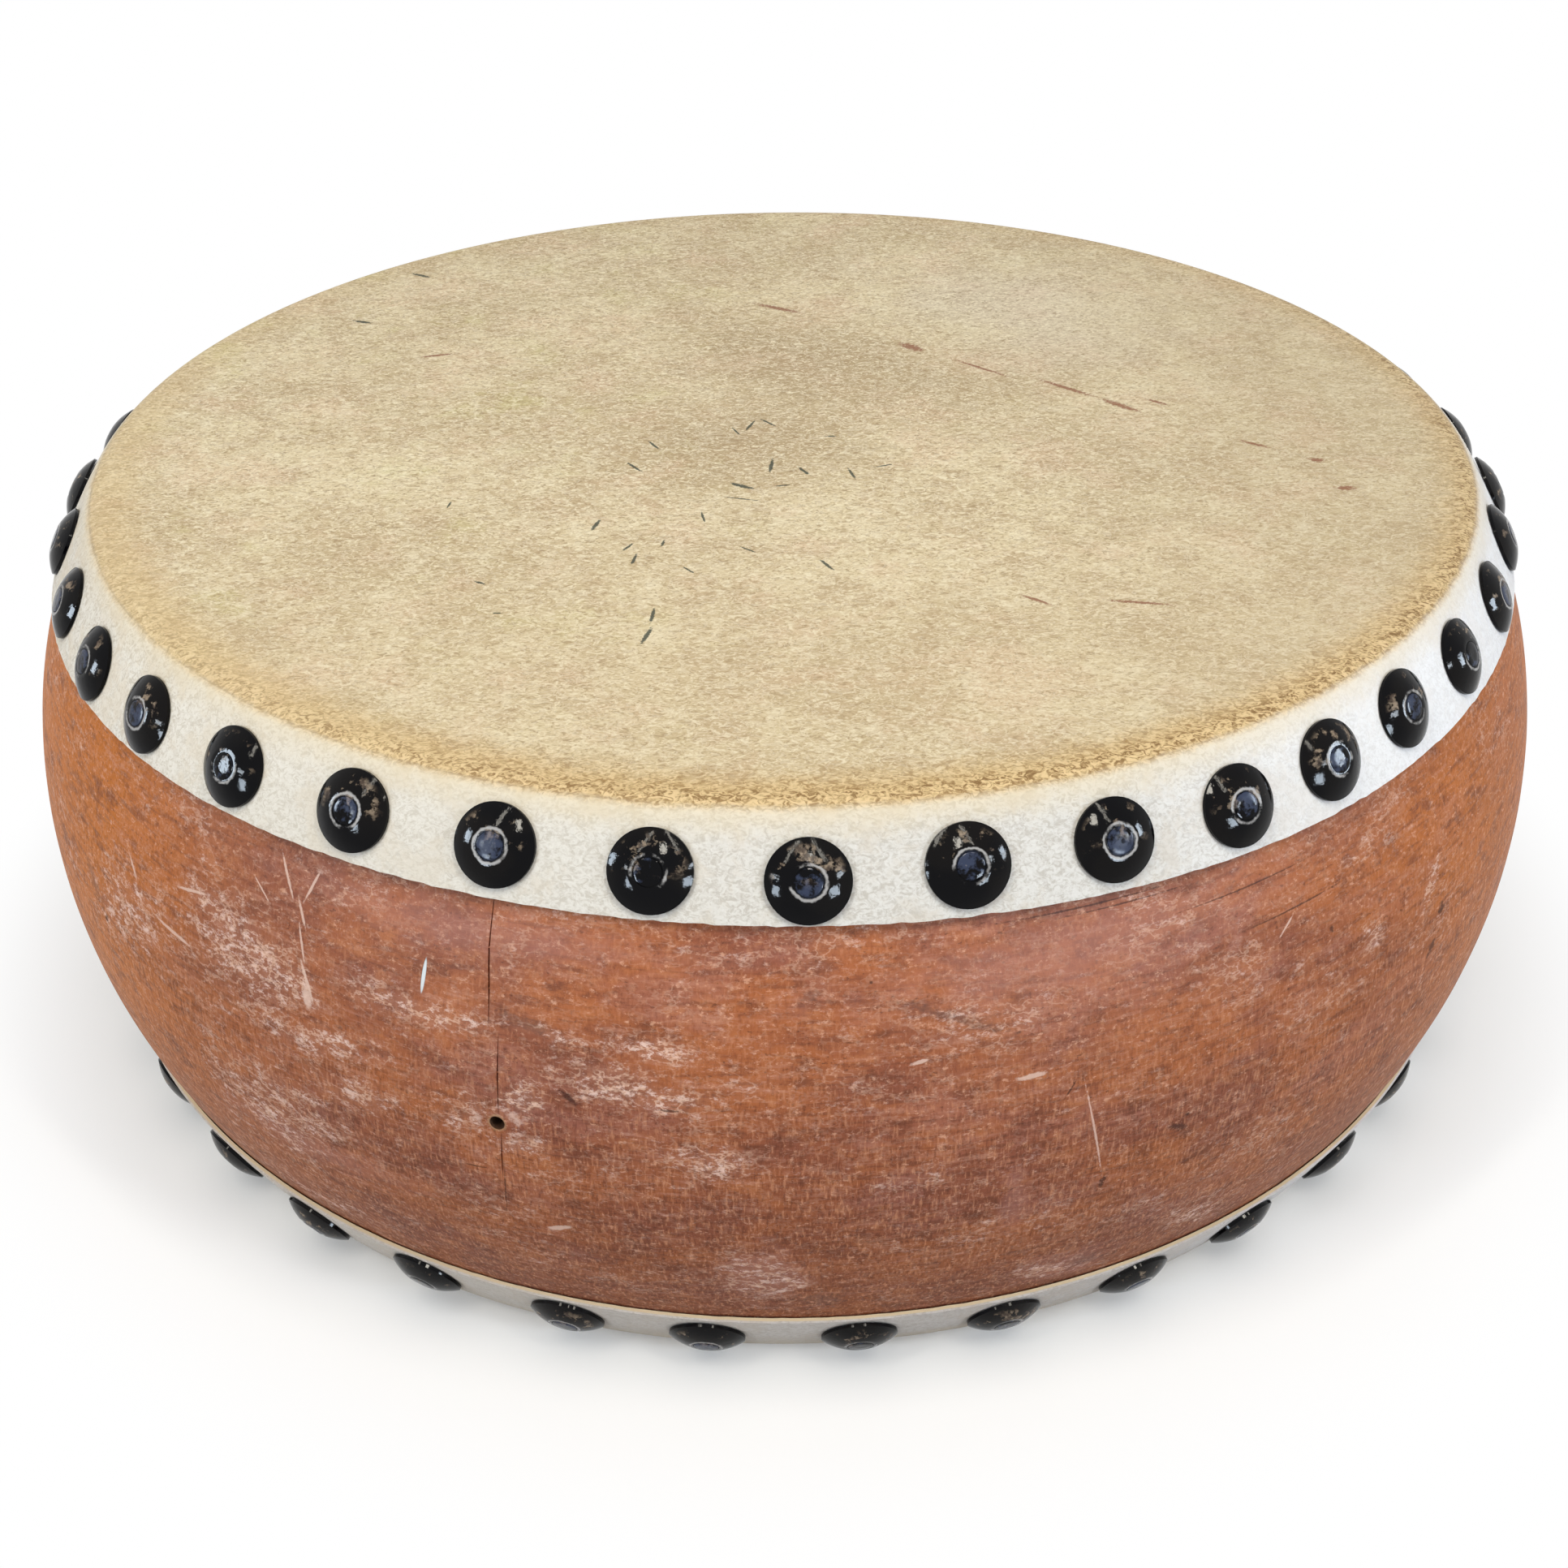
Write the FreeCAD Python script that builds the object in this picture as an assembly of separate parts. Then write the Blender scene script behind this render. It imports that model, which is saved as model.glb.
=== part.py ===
import FreeCAD, Part
import math
import os

# A shallow barrel drum: a hollowed log with a rawhide head nailed over each end.
# Millimetres, +Z up along the drum's axis, with the origin at the centre of the lower head's face.
# Angles round the drum start at the front, -Y, and grow towards +X.

# The drum as a whole
drum_height = 164.0  # over both hides
head_diameter = 381.0  # where the curve of the hide's side meets the plane of a head
belly_swell = 24.5  # how far the wood stands out at mid height, past the head's radius

# The shell, one piece of wood
belly_wall = 18.0
rim_radius = 5.4  # rounding of the outer edge, under the hide
rim_land = 6.5  # flat end of the wall, inside the rounding
rim_bevel = 10.0  # inner bevel at 45 degrees
hole_diameter = 3.6  # one hole drilled straight through the wall
hole_height = 87.0
hole_angle = -17.9

# The two hides
hide_thickness = 1.3
hide_clearance = 0.2  # between hide and wood
upper_skirt_depth = 23.5  # from the plane of a head to the cut edge of its skirt
lower_skirt_depth = 20.8

# The studs: a pressed cap under the flat head of a nail
upper_stud_inset = 13.4  # from the plane of a head to the middle of its row
lower_stud_inset = 11.4
cap_diameter = 19.0
cap_height = 3.3  # to the flat top
cap_edge = 0.8  # height of the upright edge that stands on the hide
cap_thickness = 0.8
flat_top_diameter = 8.4
dish_depth = 0.6  # the flat top is dished to take the nail's head
nail_head_diameter = 6.2
nail_head_thickness = 0.8
nail_diameter = 2.4
nail_length = 20.0  # under the head
nail_point = 3.0
dish_clearance = 0.15
nail_clearance = 0.1  # round the nail, in cap, hide and wood
nail_end_clearance = 0.5

# Each row is set out by eye. The studs near the front are counted from first_stud, and each one's
# wander is a share of the even step along the row, its rise a share of the cap's diameter.
upper_count = 37
upper_phase = -1.1
upper_first_stud = -8
upper_wander_shares = (-0.02, 0.06, 0.02, -0.01, 0.05, 0.14, 0.21, 0.25, 0.25,
                       0.27, 0.27, 0.23, 0.10, -0.01, -0.05, -0.01, 0.01)
upper_rise_shares = (0.00, -0.01, -0.08, -0.03, 0.01, 0.06, 0.07, 0.01, -0.05,
                     -0.01, -0.02, -0.05, 0.00, 0.05, 0.02, 0.01, 0.03)
lower_count = 34
lower_phase = -5.6
lower_first_stud = -5
lower_wander_shares = (-0.12, -0.13, -0.11, -0.09, -0.01, -0.04,
                       -0.01, 0.00, -0.01, -0.04, 0.01, -0.01)
lower_rise_shares = (0.02, -0.01, 0.01, 0.06, 0.03, -0.03, -0.02, -0.04, -0.01, 0.01, -0.02, 0.00)
hidden_wander_share = 0.04  # for the studs behind, which the front ones don't place
hidden_turn = 2.1  # radians from one such stud's wander to the next

# Worked out from the sizes above
overrun = drum_height  # how far a cutting tool passes what it cuts
mid_height = drum_height / 2
hide_stack = hide_thickness + hide_clearance
wood_half_height = mid_height - hide_stack
belly_radius = head_diameter / 2 + belly_swell
side_radius = (belly_swell**2 + mid_height**2 - hide_stack**2) / (2 * (belly_swell + hide_stack))
side_centre = belly_radius - side_radius
rounding_rise = wood_half_height - rim_radius
rounding_centre = side_centre + math.sqrt((side_radius - rim_radius)**2 - rounding_rise**2)
rounding_start = math.atan2(rounding_rise, rounding_centre - side_centre)
land_radius = rounding_centre - rim_land
mouth_radius = land_radius - rim_bevel

axis_foot = FreeCAD.Vector(0, 0, 0)
up = FreeCAD.Vector(0, 0, 1)
upper_end = 1
lower_end = -1


def point(radius, height):
    return FreeCAD.Vector(radius, 0, height)


def line(start, end):
    return Part.LineSegment(start, end).toShape()


def arc(start, middle, end):
    return Part.Arc(start, middle, end).toShape()


def turned(edges):
    return Part.Face(Part.Wire(edges)).revolve(axis_foot, up, 360)


def on_side(offset, angle):
    """The drum's side, offset outwards from the wood, at an angle up from mid height."""
    reach = side_radius + offset
    return point(side_centre + reach * math.cos(angle), mid_height + reach * math.sin(angle))


def on_rounding(offset, angle, end):
    """The rounded rim of one end, offset outwards from the wood."""
    reach = rim_radius + offset
    return point(rounding_centre + reach * math.cos(angle),
                 mid_height + end * (rounding_rise + reach * math.sin(angle)))


def rounding(offset, end):
    """The rim's arc, from the flat end out to the side."""
    square = math.pi / 2
    middle = (square + rounding_start) / 2
    return arc(on_rounding(offset, square, end), on_rounding(offset, middle, end),
               on_rounding(offset, rounding_start, end))


def spoke(angle):
    """The level direction out of the drum at an angle round it, in degrees."""
    turn = math.radians(angle)
    return FreeCAD.Vector(math.sin(turn), -math.cos(turn), 0)


# The shell
def shell():
    top = mid_height + wood_half_height
    bottom = mid_height - wood_half_height
    low_rim = on_rounding(0, math.pi / 2, lower_end)
    high_rim = on_rounding(0, math.pi / 2, upper_end)
    wall = turned([
        line(point(land_radius, bottom), low_rim),
        rounding(0, lower_end),
        arc(on_side(0, -rounding_start), on_side(0, 0), on_side(0, rounding_start)),
        rounding(0, upper_end),
        line(high_rim, point(land_radius, top)),
        line(point(land_radius, top), point(mouth_radius, top - rim_bevel)),
        arc(point(mouth_radius, top - rim_bevel), point(belly_radius - belly_wall, mid_height),
            point(mouth_radius, bottom + rim_bevel)),
        line(point(mouth_radius, bottom + rim_bevel), point(land_radius, bottom)),
    ])
    drill = Part.makeCylinder(hole_diameter / 2, overrun, up * hole_height, spoke(hole_angle))
    drill.translate(spoke(hole_angle) * mouth_radius)
    return wall.cut(drill)


# A hide, with its skirt nailed down round the side
def hide(end, skirt_depth):
    inside = hide_clearance
    outside = hide_stack
    inner_face = mid_height + end * (wood_half_height + inside)
    outer_face = mid_height + end * (wood_half_height + outside)
    cut_edge = end * math.asin((mid_height - skirt_depth) / (side_radius + outside))
    halfway = (end * rounding_start + cut_edge) / 2
    square = math.pi / 2
    return turned([
        line(point(0, inner_face), point(0, outer_face)),
        line(point(0, outer_face), on_rounding(outside, square, end)),
        rounding(outside, end),
        arc(on_side(outside, end * rounding_start), on_side(outside, halfway), on_side(outside, cut_edge)),
        line(on_side(outside, cut_edge), on_side(inside, cut_edge)),
        arc(on_side(inside, cut_edge), on_side(inside, halfway), on_side(inside, end * rounding_start)),
        rounding(inside, end),
        line(on_rounding(inside, square, end), point(0, inner_face)),
    ])


# A stud's cap, pressed from sheet, standing at the origin and pointing up
def stud_cap():
    outer = cap_diameter / 2
    flat = flat_top_diameter / 2
    dish = nail_head_diameter / 2 + dish_clearance
    boss = dish + cap_thickness
    bore = nail_diameter / 2 + nail_clearance
    floor = cap_height - dish_depth
    drop = (outer**2 - flat**2 + cap_edge**2 - cap_height**2) / (2 * (cap_height - cap_edge))
    dome = math.hypot(outer, cap_edge + drop)

    def dome_point(radius, reach):
        return point(radius, math.sqrt(reach**2 - radius**2) - drop)

    inner_dome = dome - cap_thickness
    inner_edge = math.sqrt(inner_dome**2 - drop**2)
    return turned([
        line(point(inner_edge, 0), point(outer, 0)),
        line(point(outer, 0), point(outer, cap_edge)),
        arc(point(outer, cap_edge), dome_point((outer + flat) / 2, dome), point(flat, cap_height)),
        line(point(flat, cap_height), point(dish, cap_height)),
        line(point(dish, cap_height), point(dish, floor)),
        line(point(dish, floor), point(bore, floor)),
        line(point(bore, floor), point(bore, floor - cap_thickness)),
        line(point(bore, floor - cap_thickness), point(boss, floor - cap_thickness)),
        line(point(boss, floor - cap_thickness), dome_point(boss, inner_dome)),
        arc(dome_point(boss, inner_dome), dome_point((boss + inner_edge) / 2, inner_dome),
            point(inner_edge, 0)),
    ])


# A stud's nail, in the same place as its cap
def stud_nail():
    head = nail_head_diameter / 2
    shank = nail_diameter / 2
    seat = cap_height - dish_depth
    return turned([
        line(point(0, seat + nail_head_thickness), point(head, seat + nail_head_thickness)),
        line(point(head, seat + nail_head_thickness), point(head, seat)),
        line(point(head, seat), point(shank, seat)),
        line(point(shank, seat), point(shank, seat - nail_length + nail_point)),
        line(point(shank, seat - nail_length + nail_point), point(0, seat - nail_length)),
        line(point(0, seat - nail_length), point(0, seat + nail_head_thickness)),
    ])


def nail_hole():
    """What a nail's hole takes out of hide and wood, with the stud's foot at the origin."""
    depth = nail_length + nail_end_clearance - (cap_height - dish_depth)
    return Part.makeCylinder(nail_diameter / 2 + nail_clearance, depth + cap_height, up * -depth)


def stud_places(end, inset, count, phase, first_stud, wander_shares, rise_shares):
    """Where each stud of a row stands on the hide, square to its surface."""
    places = []
    step = 360 / count
    reach = side_radius + hide_stack
    for number in range(first_stud, first_stud + count):
        placed = number - first_stud
        if placed < len(wander_shares):
            wander = wander_shares[placed]
            rise = rise_shares[placed] * cap_diameter
        else:
            wander = hidden_wander_share * math.sin(hidden_turn * placed)
            rise = 0
        above_middle = end * (mid_height - inset) + rise
        tilt = math.asin(above_middle / reach)
        outwards = spoke(phase + (number + wander) * step)
        foot = outwards * (side_centre + reach * math.cos(tilt)) + up * (mid_height + above_middle)
        facing = outwards * math.cos(tilt) + up * math.sin(tilt)
        places.append(FreeCAD.Placement(foot, FreeCAD.Rotation(up, facing)))
    return places


def copies(shape, places):
    placed = []
    for place in places:
        copy = shape.copy()
        copy.Placement = place
        placed.append(copy)
    return placed


upper_places = stud_places(upper_end, upper_stud_inset, upper_count, upper_phase, upper_first_stud,
                           upper_wander_shares, upper_rise_shares)
lower_places = stud_places(lower_end, lower_stud_inset, lower_count, lower_phase, lower_first_stud,
                           lower_wander_shares, lower_rise_shares)
upper_holes = copies(nail_hole(), upper_places)
lower_holes = copies(nail_hole(), lower_places)

parts = {
    "shell": shell().cut(upper_holes + lower_holes),
    "upper_head": hide(upper_end, upper_skirt_depth).cut(upper_holes),
    "lower_head": hide(lower_end, lower_skirt_depth).cut(lower_holes),
    "upper_stud_caps": Part.makeCompound(copies(stud_cap(), upper_places)),
    "upper_stud_nails": Part.makeCompound(copies(stud_nail(), upper_places)),
    "lower_stud_caps": Part.makeCompound(copies(stud_cap(), lower_places)),
    "lower_stud_nails": Part.makeCompound(copies(stud_nail(), lower_places)),
}

os.makedirs("parts", exist_ok=True)
for node, shape in parts.items():
    shape.exportStep("parts/" + node + ".step")
    box = shape.BoundBox
    print(node, len(shape.Solids), "solids, valid", shape.isValid(), "volume", round(shape.Volume),
          "x", round(box.XMin, 2), round(box.XMax, 2), "z", round(box.ZMin, 2), round(box.ZMax, 2))
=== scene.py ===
import math

import bmesh
import bpy
from mathutils import Matrix, Vector, noise


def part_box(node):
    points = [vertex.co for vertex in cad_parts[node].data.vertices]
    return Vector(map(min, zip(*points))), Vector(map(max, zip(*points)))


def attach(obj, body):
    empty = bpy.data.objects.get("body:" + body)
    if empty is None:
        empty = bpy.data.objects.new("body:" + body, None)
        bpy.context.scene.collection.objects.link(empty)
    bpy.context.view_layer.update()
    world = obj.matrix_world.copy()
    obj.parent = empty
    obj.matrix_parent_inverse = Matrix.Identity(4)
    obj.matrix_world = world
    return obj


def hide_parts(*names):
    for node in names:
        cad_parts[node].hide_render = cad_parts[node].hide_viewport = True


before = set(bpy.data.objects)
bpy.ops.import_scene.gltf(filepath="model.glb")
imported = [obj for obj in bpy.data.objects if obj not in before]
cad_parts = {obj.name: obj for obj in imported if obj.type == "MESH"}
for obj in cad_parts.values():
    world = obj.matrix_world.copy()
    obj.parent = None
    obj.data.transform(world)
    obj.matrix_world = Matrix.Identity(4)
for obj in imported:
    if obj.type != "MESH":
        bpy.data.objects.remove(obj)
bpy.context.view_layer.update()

# The shell. A log of reddish hardwood, hollowed out and turned to a barrel, open at both ends. Its
# stain has worn to scuffs and scratches, and a drying crack runs down through the one hole that is
# drilled in its wall.
mm = 0.001
full_turn = 2 * math.pi
square = math.pi / 2
shell_low, shell_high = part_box("shell")
head_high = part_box("upper_head")[1]
middle = (shell_low.z + shell_high.z) / 2
wood_half_height = shell_high.z - middle
hide_stack = head_high.z - shell_high.z
belly_radius = shell_high.y
head_radius = 190.5 * mm  # where the curve of a hide's side meets the plane of the head
belly_wall = 18 * mm  # at mid height, where the hollow is widest
rim_radius = 5.4 * mm
rim_land = 6.5 * mm
rim_bevel = 10 * mm
belly_swell = belly_radius - head_radius
side_radius = ((belly_swell**2 + (wood_half_height + hide_stack)**2 - hide_stack**2)
               / (2 * (belly_swell + hide_stack)))
side_centre = belly_radius - side_radius
rounding_rise = wood_half_height - rim_radius
rounding_centre = side_centre + math.sqrt((side_radius - rim_radius)**2 - rounding_rise**2)
rounding_start = math.atan2(rounding_rise, rounding_centre - side_centre)
land_radius = rounding_centre - rim_land
mouth_radius = land_radius - rim_bevel
bow_height = wood_half_height - rim_bevel
bow_depth = belly_radius - belly_wall - mouth_radius
bow_radius = (bow_height**2 + bow_depth**2) / (2 * bow_depth)
turning_steps = 720  # round the drum
side_steps = 84
rounding_steps = 5
hollow_steps = 14


class Outline:
    """An outline in the XZ plane, drawn point by point and then turned about the drum's axis."""

    def __init__(self, x, z):
        self.mesh = bmesh.new()
        self.tip = self.mesh.verts.new((x, 0, z))

    def line(self, x, z, steps=1):
        start = self.tip.co.copy()
        for step in range(1, steps + 1):
            grown = bmesh.ops.extrude_vert_indiv(self.mesh, verts=[self.tip])
            self.tip = grown["verts"][0]
            self.tip.co = start.lerp(Vector((x, 0, z)), step / steps)
        return self

    def arc(self, x, z, rise, steps):
        """Round the centre x, z by an angle that is positive where it rises from +X to +Z."""
        swept = bmesh.ops.spin(self.mesh, geom=[self.tip], cent=(x, 0, z), axis=(0, 1, 0),
                               angle=-rise, steps=steps)
        self.tip = next(part for part in swept["geom_last"] if isinstance(part, bmesh.types.BMVert))
        return self

    def turned(self, steps):
        """Turned an eighth of the way, then copied round for the rest, which is quicker."""
        mesh = self.mesh
        joined = 0.002 * mm
        eighth = full_turn / 8
        bmesh.ops.remove_doubles(mesh, verts=mesh.verts, dist=joined)
        bmesh.ops.spin(mesh, geom=mesh.verts[:] + mesh.edges[:], cent=(0, 0, 0), axis=(0, 0, 1),
                       angle=eighth, steps=steps // 8)
        for share in (1, 2, 4):
            copied = bmesh.ops.duplicate(mesh, geom=mesh.verts[:] + mesh.edges[:] + mesh.faces[:])
            verts = [part for part in copied["geom"] if isinstance(part, bmesh.types.BMVert)]
            bmesh.ops.rotate(mesh, verts=verts, cent=(0, 0, 0),
                             matrix=Matrix.Rotation(share * eighth, 3, "Z"))
        bmesh.ops.remove_doubles(mesh, verts=mesh.verts, dist=joined)
        bmesh.ops.dissolve_degenerate(mesh, edges=mesh.edges, dist=joined)
        bmesh.ops.recalc_face_normals(mesh, faces=mesh.faces)
        return mesh


def settle(name, mesh, finish, sharp_degrees=40):
    """Makes a finished object of a bmesh, smooth but for its sharp edges."""
    data = bpy.data.meshes.new(name)
    mesh.to_mesh(data)
    mesh.free()
    data.polygons.foreach_set("use_smooth", [True] * len(data.polygons))
    data.set_sharp_from_angle(angle=math.radians(sharp_degrees))
    data.materials.append(finish)
    piece = bpy.data.objects.new(name, data)
    bpy.context.scene.collection.objects.link(piece)
    return piece


def on_wood(azimuth, height, sunk=0.0):
    """A point of the shell's side, at an azimuth in degrees from the front and a height, or of
    the wood behind it, sunk by so much."""
    angle = math.asin((height - middle) / side_radius)
    radius = side_centre + (side_radius - sunk) * math.cos(angle)
    turn = math.radians(azimuth)
    return Vector((radius * math.sin(turn), -radius * math.cos(turn), height))


def carve(piece, cutter):
    """Cuts closed solids, in one bmesh, out of a piece."""
    bmesh.ops.recalc_face_normals(cutter, faces=cutter.faces)
    data = bpy.data.meshes.new("cutter")
    cutter.to_mesh(data)
    cutter.free()
    tool = bpy.data.objects.new("cutter", data)
    bpy.context.scene.collection.objects.link(tool)
    cut = piece.modifiers.new("cut", "BOOLEAN")
    cut.operation = "DIFFERENCE"
    cut.solver = "EXACT"
    cut.object = tool
    whole = piece.evaluated_get(bpy.context.evaluated_depsgraph_get())
    done = bpy.data.meshes.new_from_object(whole)
    piece.modifiers.clear()
    before = piece.data
    piece.data = done
    bpy.data.meshes.remove(before)
    bpy.data.objects.remove(tool)
    bpy.data.meshes.remove(data)


class Signal:
    """A value, colour or vector in a material. Sums that are written with it become Math nodes."""

    def __init__(self, tree, socket):
        self.tree = tree
        self.socket = socket

    def node(self, kind, settings=(), sockets=(), out=0):
        made = self.tree.nodes.new("ShaderNode" + kind)
        for name, value in dict(settings).items():
            setattr(made, name, value)
        for name, value in dict(sockets).items():
            if isinstance(value, Signal):
                self.tree.links.new(value.socket, made.inputs[name])
            else:
                made.inputs[name].default_value = value
        return Signal(self.tree, made.outputs[out])

    def math(self, operation, first, second):
        return self.node("Math", {"operation": operation}, {0: first, 1: second})

    def __add__(self, other):
        return self.math("ADD", self, other)

    def __sub__(self, other):
        return self.math("SUBTRACT", self, other)

    def __rsub__(self, other):
        return self.math("SUBTRACT", other, self)

    def __mul__(self, other):
        return self.math("MULTIPLY", self, other)

    def __truediv__(self, other):
        return self.math("DIVIDE", self, other)

    def __abs__(self):
        return self.math("ABSOLUTE", self, 0)

    __radd__ = __add__
    __rmul__ = __mul__

    def least(self, other):
        return self.math("MINIMUM", self, other)

    def most(self, other):
        return self.math("MAXIMUM", self, other)

    def ease(self, start, end):
        """0 before start and 1 after end, smoothly; the other way round where end is less."""
        return self.node("MapRange", {"interpolation_type": "SMOOTHSTEP"},
                         {"Value": self, "From Min": start, "From Max": end})

    def between(self, none, full):
        """The colour that goes from none to full as this mask goes from 0 to 1."""
        return self.node("Mix", {"data_type": "RGBA"}, {"Factor": self, 6: none, 7: full}, 2)

    def vector(self, operation, other=(0, 0, 0), out=0):
        return self.node("VectorMath", {"operation": operation}, {0: self, 1: other}, out)

    def parts(self):
        split = self.node("SeparateXYZ", {}, {0: self}).socket.node
        return [Signal(self.tree, part) for part in split.outputs]

    def grain(self, size, detail=2.0, roughness=0.5, stretch=(1, 1, 1), seed=0, curl=0.0):
        """Noise from 0 to 1 whose lumps are about size metres, longer along stretch."""
        squeezed = self.vector("MULTIPLY", tuple(1 / (size * share) for share in stretch))
        return self.node("TexNoise", {"noise_dimensions": "3D"}, {
            "Vector": squeezed.vector("ADD", (seed, seed, seed)), "Scale": 1.0,
            "Detail": detail, "Roughness": roughness, "Distortion": curl})

    def reach(self, ovals):
        """0 at the middle and 1 at the rim of the nearest of some ovals, each of which is given
        as its middle, half its length and its width, in millimetres, and its turn in degrees."""
        nearest = None
        for x, y, long, wide, turn in ovals:
            lie = Vector((math.cos(math.radians(turn)), math.sin(math.radians(turn)), 0)) / mm
            offset = self.vector("SUBTRACT", (x * mm, y * mm, 0))
            along = offset.vector("DOT_PRODUCT", lie / long, "Value")
            across = offset.vector("DOT_PRODUCT", Vector((-lie.y, lie.x, 0)) / wide, "Value")
            distance = along * along + across * across
            nearest = distance if nearest is None else nearest.least(distance)
        return nearest.math("SQRT", nearest, 0)


def seen(red, green, blue):
    """A colour as the eye reads it, from 0 to 255, for a material's socket."""
    def level(part):
        share = part / 255
        return share / 12.92 if share <= 0.04045 else ((share + 0.055) / 1.055)**2.4
    return level(red), level(green), level(blue), 1.0


def blank(name):
    """A new material, its shader and the place of each point, in metres."""
    material = bpy.data.materials.new(name)
    material.use_nodes = True
    tree = material.node_tree
    start = tree.nodes.new("ShaderNodeTexCoord")
    return material, tree.nodes["Principled BSDF"], Signal(tree, start.outputs["Object"])


def feed(shader, **sockets):
    """Links signals to a shader's sockets; an underscore stands for a space in a socket's name."""
    for name, signal in sockets.items():
        signal.tree.links.new(signal.socket, shader.inputs[name.replace("_", " ")])


def raised(height, strength):
    """The shading of a relief whose height is in metres."""
    return height.node("Bump", {}, {"Height": height, "Distance": 1.0, "Strength": strength})


def unrolled_ovals(*ovals):
    """Ovals on the unrolled side of the shell, given by azimuth in degrees, for reach()."""
    return [(math.radians(oval[0]) * belly_radius / mm,) + oval[1:] for oval in ovals]


hole_azimuth = -17.9
hole_height = 87  # millimetres, as all the marks on the wood are
scuffed_places = unrolled_ovals(
    (-50, 99, 24, 12, 20), (-37, 110, 23, 17, -12), (-31.5, 107, 5, 8, 0), (-23.5, 112, 22, 4, 0),
    (-14.5, 113, 12, 2.5, -10), (-9.5, 101, 21, 7, -14), (-16.2, 97, 6, 3, 40),
    (-4.7, 83, 13, 6, 0), (-36, 64, 24, 20, 0), (-1.5, 42, 10, 13, 0), (29.5, 35, 15, 8, 0),
    (-37, 31, 26, 5, 0), (18, 31, 12, 6, 0), (-21, 86, 4, 6, 20), (-16.5, 81, 8, 2.5, 20),
    (-28, 84, 16, 6, 4), (-8, 112, 16, 3, -8), (-30, 96, 20, 5, 4),
    (-19.6, 89, 3.2, 4.5, 20), (-15.8, 93, 5, 2.6, 50), (40.9, 103, 5, 5, 0), (47.8, 108, 8, 3, 55))
# Mauve patches on the wood; the two long bands just under the upper skirt are a painted reflection.
mauve_patches_and_sheen = unrolled_ovals(
    (29, 120.5, 3.6, 2.4, 60), (41, 102.5, 1.8, 1.3, 0), (18, 128, 60, 9, 4), (-1.5, 44, 10, 14, 0),
    (-33, 57, 34, 6, 2), (14, 66, 4, 14, 0), (-20, 133, 50, 5, 0), (19, 31, 14, 8, 0))
pale_scratches = unrolled_ovals(
    (-33.5, 132.5, 4.6, 0.35, -60), (-31.4, 132.7, 4.1, 0.35, 65), (-32.0, 125.8, 3.2, 0.4, -65),
    (-31.85, 119, 4.5, 0.32, -76), (-31.3, 109.7, 5.0, 0.5, -68), (-31.3, 106, 1.2, 2.8, 10),
    (-35.6, 127.5, 3.2, 0.25, -38), (-14.7, 55.5, 3.0, 0.8, 20),
    (18.9, 82, 12.5, 0.28, -78), (-42, 118, 6, 0.4, 12), (-44, 104, 7, 0.5, -6), (33, 119, 3, 0.3, 40),
    (-49, 113, 3.5, 0.4, -50), (7.8, 108.5, 2.2, 0.5, 12), (14.7, 101, 3.4, 0.7, 4))
dark_marks = unrolled_ovals(
    (-53.6, 89.2, 1.5, 1.0, 60), (-13.2, 97.5, 2.6, 0.9, -35), (17.1, 95.1, 2.6, 0.3, 58),
    (19.9, 64.1, 2.8, 0.8, 75), (24.9, 75.2, 3.4, 1.1, -22), (49.2, 97.1, 1.7, 1.9, 0),
    (48.2, 87.3, 2.8, 1.4, 60), (36.9, 113.2, 0.8, 0.8, 0), (-7.0, 97.0, 3.0, 0.4, 0),
    (25.5, 78.5, 1.0, 0.8, 0), (5.0, 127.6, 0.4, 0.4, 0),
    (-19.7, 72, 3.0, 0.3, 2), (-17.9, 66, 7.0, 0.2, 85), (19.0, 137.4, 22, 0.22, 0.8),
    (21.0, 136.2, 18, 0.2, 0.6), (30.0, 131.5, 22, 0.2, 1.5), (34.0, 122.5, 16, 0.25, 2))
soot_marks = unrolled_ovals(
    (-16.0, 114.5, 6.5, 1.6, -12), (-55.5, 97, 7.0, 3.0, -50), (1.3, 125, 3.2, 1.6, 20),
    (10, 118, 16, 1.2, -22), (2, 31, 7, 3.5, 0), (20.5, 30, 5, 3.5, 0))
white_nick = unrolled_ovals((-22.7, 120.6, 4.4, 0.55, 84))
hole_place = unrolled_ovals((hole_azimuth, hole_height, 1, 1, 0))


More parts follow.
